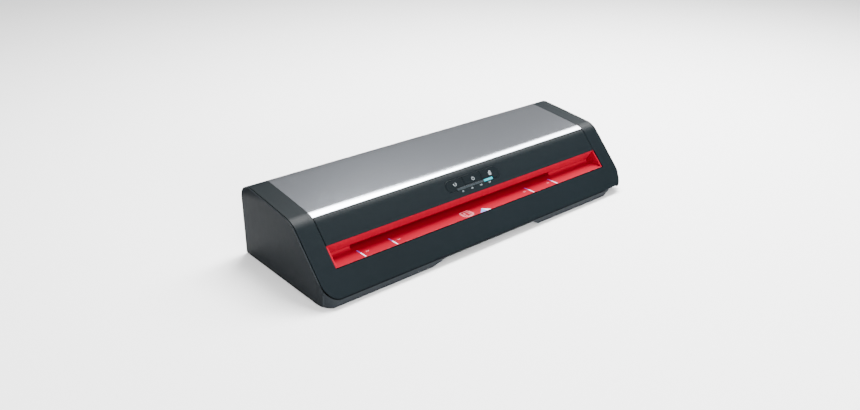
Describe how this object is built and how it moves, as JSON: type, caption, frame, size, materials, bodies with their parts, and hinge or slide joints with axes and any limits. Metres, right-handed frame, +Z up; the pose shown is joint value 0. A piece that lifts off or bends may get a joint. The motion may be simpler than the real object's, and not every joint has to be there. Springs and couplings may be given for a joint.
{
  "type": "pouch laminator",
  "caption": "Low wide hot-roller pouch laminator with a silver lid, dark housing, red feed recess across the sloping front, three keys over a segmented light bar, and a rear exit slot.",
  "frame": {"origin": "on the ground at the middle of the outline", "axes": "+X along the rollers to the right seen from the feed side, +Y from the feed side to the exit, +Z up"},
  "size_m": [0.48, 0.1688, 0.0886],
  "materials": {
    "grey_shell": "fine moulded texture",
    "dark_shell": "satin moulded",
    "silver_lid": "satin silver",
    "red_feed": "gloss",
    "key_black": "satin",
    "light_dim": "translucent window, unlit",
    "light_lit": "translucent window, lit",
    "board_green": "solder mask",
    "part_dark": "moulded components",
    "steel": "zinc-plated",
    "aluminium": "machined",
    "silicone": "silicone rubber",
    "bush": "sintered bronze",
    "thermostat": "ceramic body",
    "gear_nylon": "natural nylon",
    "motor_can": "plated can",
    "rubber_black": "matt rubber"
  },
  "bodies": {
    "chassis": {"lower_housing": "grey_shell", "upper_housing": "dark_shell", "lid_panel": "silver_lid", "control_fascia": "dark_shell", "feed_table": "red_feed", "feed_hood": "red_feed", "recess_end_walls": "red_feed", "slot_cheeks": "red_feed", "light_bar": "light_dim", "light_bar_lit": "light_lit", "control_board": "board_green", "left_side_plate": "steel", "right_side_plate": "steel", "tie_bars": "steel", "tie_bar_screws": "steel", "heat_roller_bushes": "bush", "pull_roller_bushes": "bush", "upper_heater_shoe": "aluminium", "lower_heater_shoe": "aluminium", "thermostat": "thermostat", "upper_guide_plates": "steel", "lower_guide_plates": "steel", "exit_chute_upper": "dark_shell", "exit_chute_lower": "dark_shell", "idler_axle": "steel", "gear_motor": "motor_can", "motor_bracket": "steel", "bracket_pillars": "steel", "main_board": "board_green", "board_parts": "part_dark", "board_spacers": "steel", "cord_gland": "rubber_black", "skid_pads": "rubber_black", "rear_feet": "rubber_black", "housing_screws": "steel", "chassis_screws": "steel"},
    "upper_heat_roller": {"upper_heat_core": "aluminium", "upper_heat_sleeve": "silicone", "upper_heat_gear": "gear_nylon"},
    "lower_heat_roller": {"lower_heat_core": "aluminium", "lower_heat_sleeve": "silicone", "lower_heat_gear": "gear_nylon"},
    "upper_pull_roller": {"upper_pull_core": "aluminium", "upper_pull_sleeve": "silicone", "upper_pull_gear": "gear_nylon"},
    "lower_pull_roller": {"lower_pull_core": "aluminium", "lower_pull_sleeve": "silicone", "lower_pull_gear": "gear_nylon"},
    "idler": {"idler_gear": "gear_nylon"},
    "motor_rotor": {"motor_shaft": "steel", "motor_pinion": "gear_nylon"},
    "reverse_key": {"key_reverse": "key_black"},
    "power_key": {"key_power": "key_black"},
    "pouch_key": {"key_pouch": "key_black"}
  },
  "joints": [
    {"name": "lower_heat_spin", "type": "hinge", "parent": "chassis", "child": "lower_heat_roller", "pos_m": [0.157, -0.00598, 0.0244], "axis": [1, 0, 0], "continuous": true},
    {"name": "upper_heat_spin", "type": "hinge", "parent": "chassis", "child": "upper_heat_roller", "pos_m": [0.157, -0.00598, 0.0468], "axis": [1, 0, 0], "continuous": true},
    {"name": "idler_spin", "type": "hinge", "parent": "chassis", "child": "idler", "pos_m": [0.157, 0.01482, 0.0244], "axis": [1, 0, 0], "continuous": true},
    {"name": "lower_pull_spin", "type": "hinge", "parent": "chassis", "child": "lower_pull_roller", "pos_m": [0.157, 0.03562, 0.0244], "axis": [1, 0, 0], "continuous": true},
    {"name": "upper_pull_spin", "type": "hinge", "parent": "chassis", "child": "upper_pull_roller", "pos_m": [0.157, 0.03562, 0.0468], "axis": [1, 0, 0], "continuous": true},
    {"name": "motor_spin", "type": "hinge", "parent": "chassis", "child": "motor_rotor", "pos_m": [0.157, 0.0516, 0.05199], "axis": [1, 0, 0], "continuous": true},
    {"name": "reverse_press", "type": "slide", "parent": "chassis", "child": "reverse_key", "axis": [0, 0.7385, -0.6743], "range_m": [0, 0.0006], "stiffness_N_per_m": 400, "springref_m": -0.0002},
    {"name": "power_press", "type": "slide", "parent": "chassis", "child": "power_key", "axis": [0, 0.7385, -0.6743], "range_m": [0, 0.0006], "stiffness_N_per_m": 400, "springref_m": -0.0002},
    {"name": "pouch_press", "type": "slide", "parent": "chassis", "child": "pouch_key", "axis": [0, 0.7385, -0.6743], "range_m": [0, 0.0006], "stiffness_N_per_m": 400, "springref_m": -0.0002}
  ],
  "couplings": [
    {"joint": "upper_heat_spin", "follows": "lower_heat_spin", "ratio": -1},
    {"joint": "idler_spin", "follows": "lower_heat_spin", "ratio": -1.1667},
    {"joint": "lower_pull_spin", "follows": "lower_heat_spin", "ratio": 1},
    {"joint": "upper_pull_spin", "follows": "lower_heat_spin", "ratio": -1},
    {"joint": "motor_spin", "follows": "lower_heat_spin", "ratio": 2}
  ]
}
